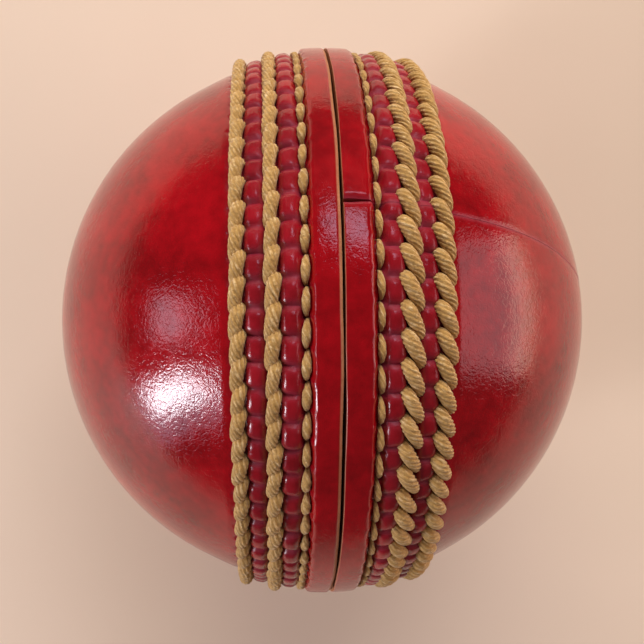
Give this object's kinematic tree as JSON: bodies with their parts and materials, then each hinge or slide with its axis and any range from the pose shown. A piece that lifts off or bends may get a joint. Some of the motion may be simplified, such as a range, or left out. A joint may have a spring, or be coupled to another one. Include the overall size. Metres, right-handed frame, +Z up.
{
  "type": "cricket ball",
  "caption": "Red leather cricket ball with a raised stitched seam, cut in quarters over a cork and yarn centre.",
  "frame": {"origin": "centre of the ball", "axes": "+X from the main seam's plane towards the middle of the right half, the main seam in the YZ plane, +Z up"},
  "size_m": [0.0696, 0.0728, 0.0728],
  "materials": {
    "cover_leather": "polished",
    "lining_leather": "raw",
    "seam_thread": "waxed",
    "quarter_thread": "waxed",
    "yarn": "matte",
    "cork": "matte"
  },
  "bodies": {
    "root": {"right_quarter_back": "cover_leather", "right_quarter_front": "cover_leather", "left_quarter_top": "cover_leather", "left_quarter_bottom": "cover_leather", "right_seam_lining": "lining_leather", "left_seam_lining": "lining_leather", "right_quarter_seam_thread": "quarter_thread", "left_quarter_seam_thread": "quarter_thread", "closing_thread": "seam_thread", "right_middle_row_thread": "seam_thread", "right_outer_row_thread": "seam_thread", "left_middle_row_thread": "seam_thread", "left_outer_row_thread": "seam_thread", "cork_centre": "cork", "yarn_winding_1": "yarn", "cork_layer_1": "cork", "yarn_winding_2": "yarn", "cork_layer_2": "cork", "yarn_winding_3": "yarn", "cork_layer_3": "cork", "yarn_winding_4": "yarn", "cork_layer_4": "cork", "yarn_winding_5": "yarn"}
  },
  "joints": []
}
